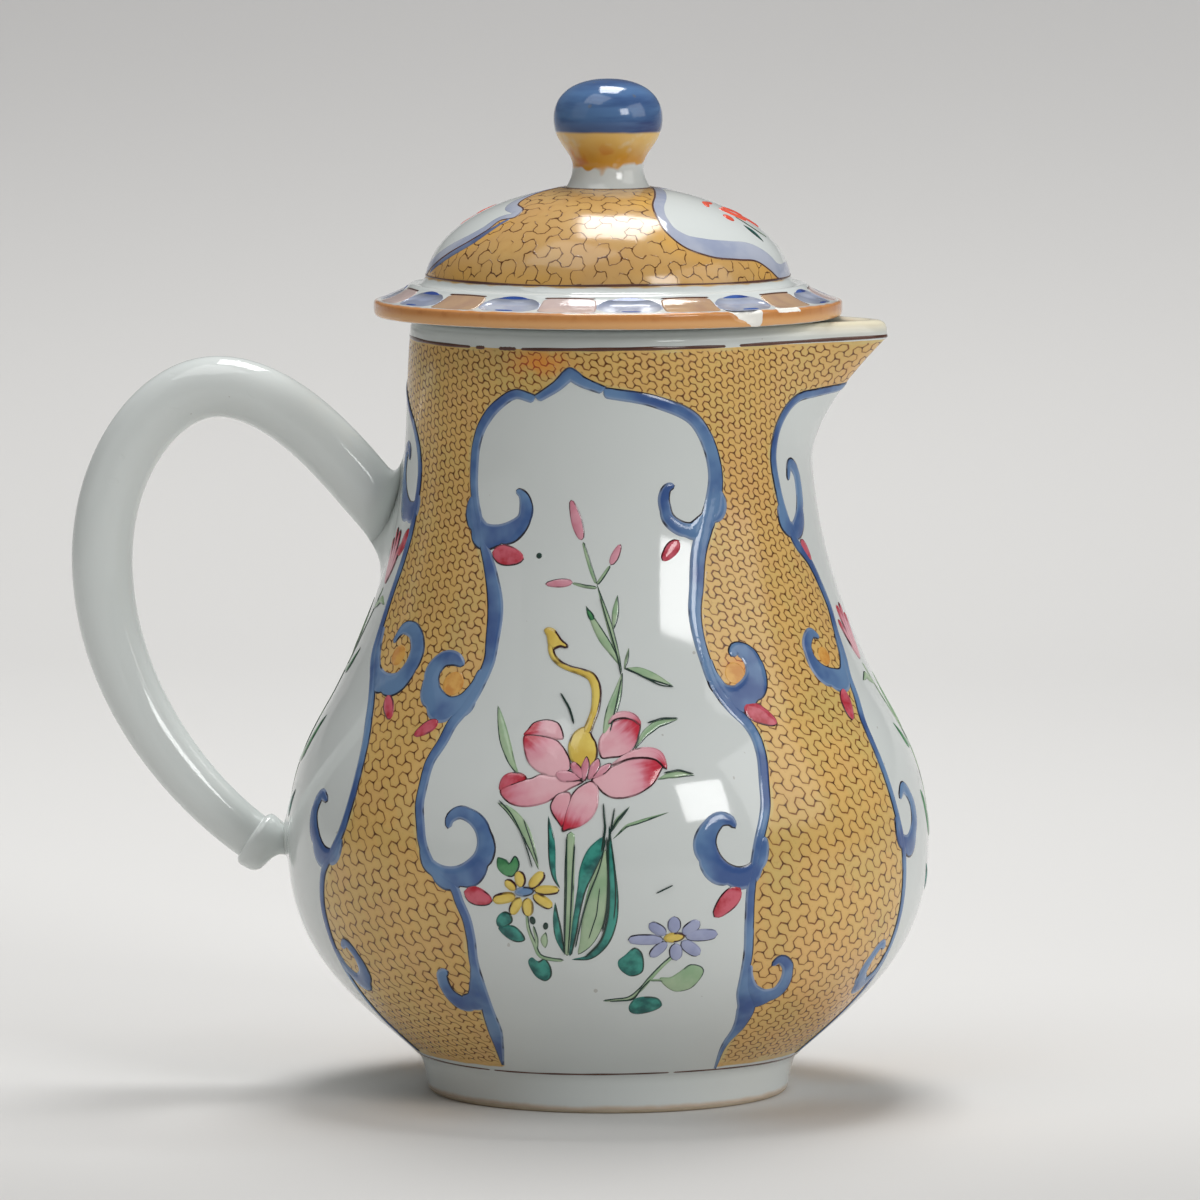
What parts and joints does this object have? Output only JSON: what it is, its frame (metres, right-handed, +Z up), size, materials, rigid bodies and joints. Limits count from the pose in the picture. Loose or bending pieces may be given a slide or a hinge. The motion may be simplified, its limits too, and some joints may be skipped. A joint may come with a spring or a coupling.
{
  "type": "cream jug",
  "caption": "Covered pear-shaped porcelain cream jug with a beak spout, a loop handle on flared roots, a turned foot ring and a domed cover with a knop.",
  "frame": {"origin": "middle of the whole part's footprint, on the plane that the foot ring stands on; the jug's turned axis is at x = 0.01476 m", "axes": "+Z up the jug's axis towards the knop, +X towards the spout, -X towards the handle, Y across the jug"},
  "size_m": [0.1152, 0.0856, 0.1353],
  "materials": {
    "painted_glaze": "clear glossy glaze over cool white porcelain, covered with an ochre diaper of Y-shaped cells, white panels with blue scroll borders, and flower sprays in raised enamels",
    "plain_glaze": "clear glossy glaze over cool white porcelain",
    "bare_clay": "unglazed fired porcelain, burnt warm along the edge of the glaze",
    "painted_cover": "glossy glaze with an ochre diaper, white reserves edged in blue, a banded brim and an orange edge",
    "painted_knop": "glossy glaze, blue enamel over yellow on the ball and white on the neck"
  },
  "bodies": {
    "jug": {"jug_body": "painted_glaze", "beak_spout": "painted_glaze", "foot_ring": "bare_clay", "loop_handle": "plain_glaze", "upper_handle_root": "plain_glaze", "lower_handle_root": "plain_glaze"},
    "cover": {"domed_cover": "painted_cover", "cover_collar": "plain_glaze", "ball_knop": "painted_knop"}
  },
  "joints": [
    {"name": "cover_lift", "type": "slide", "parent": "jug", "child": "cover", "axis": [0, 0, 1], "range_m": [0, 0.06]}
  ]
}
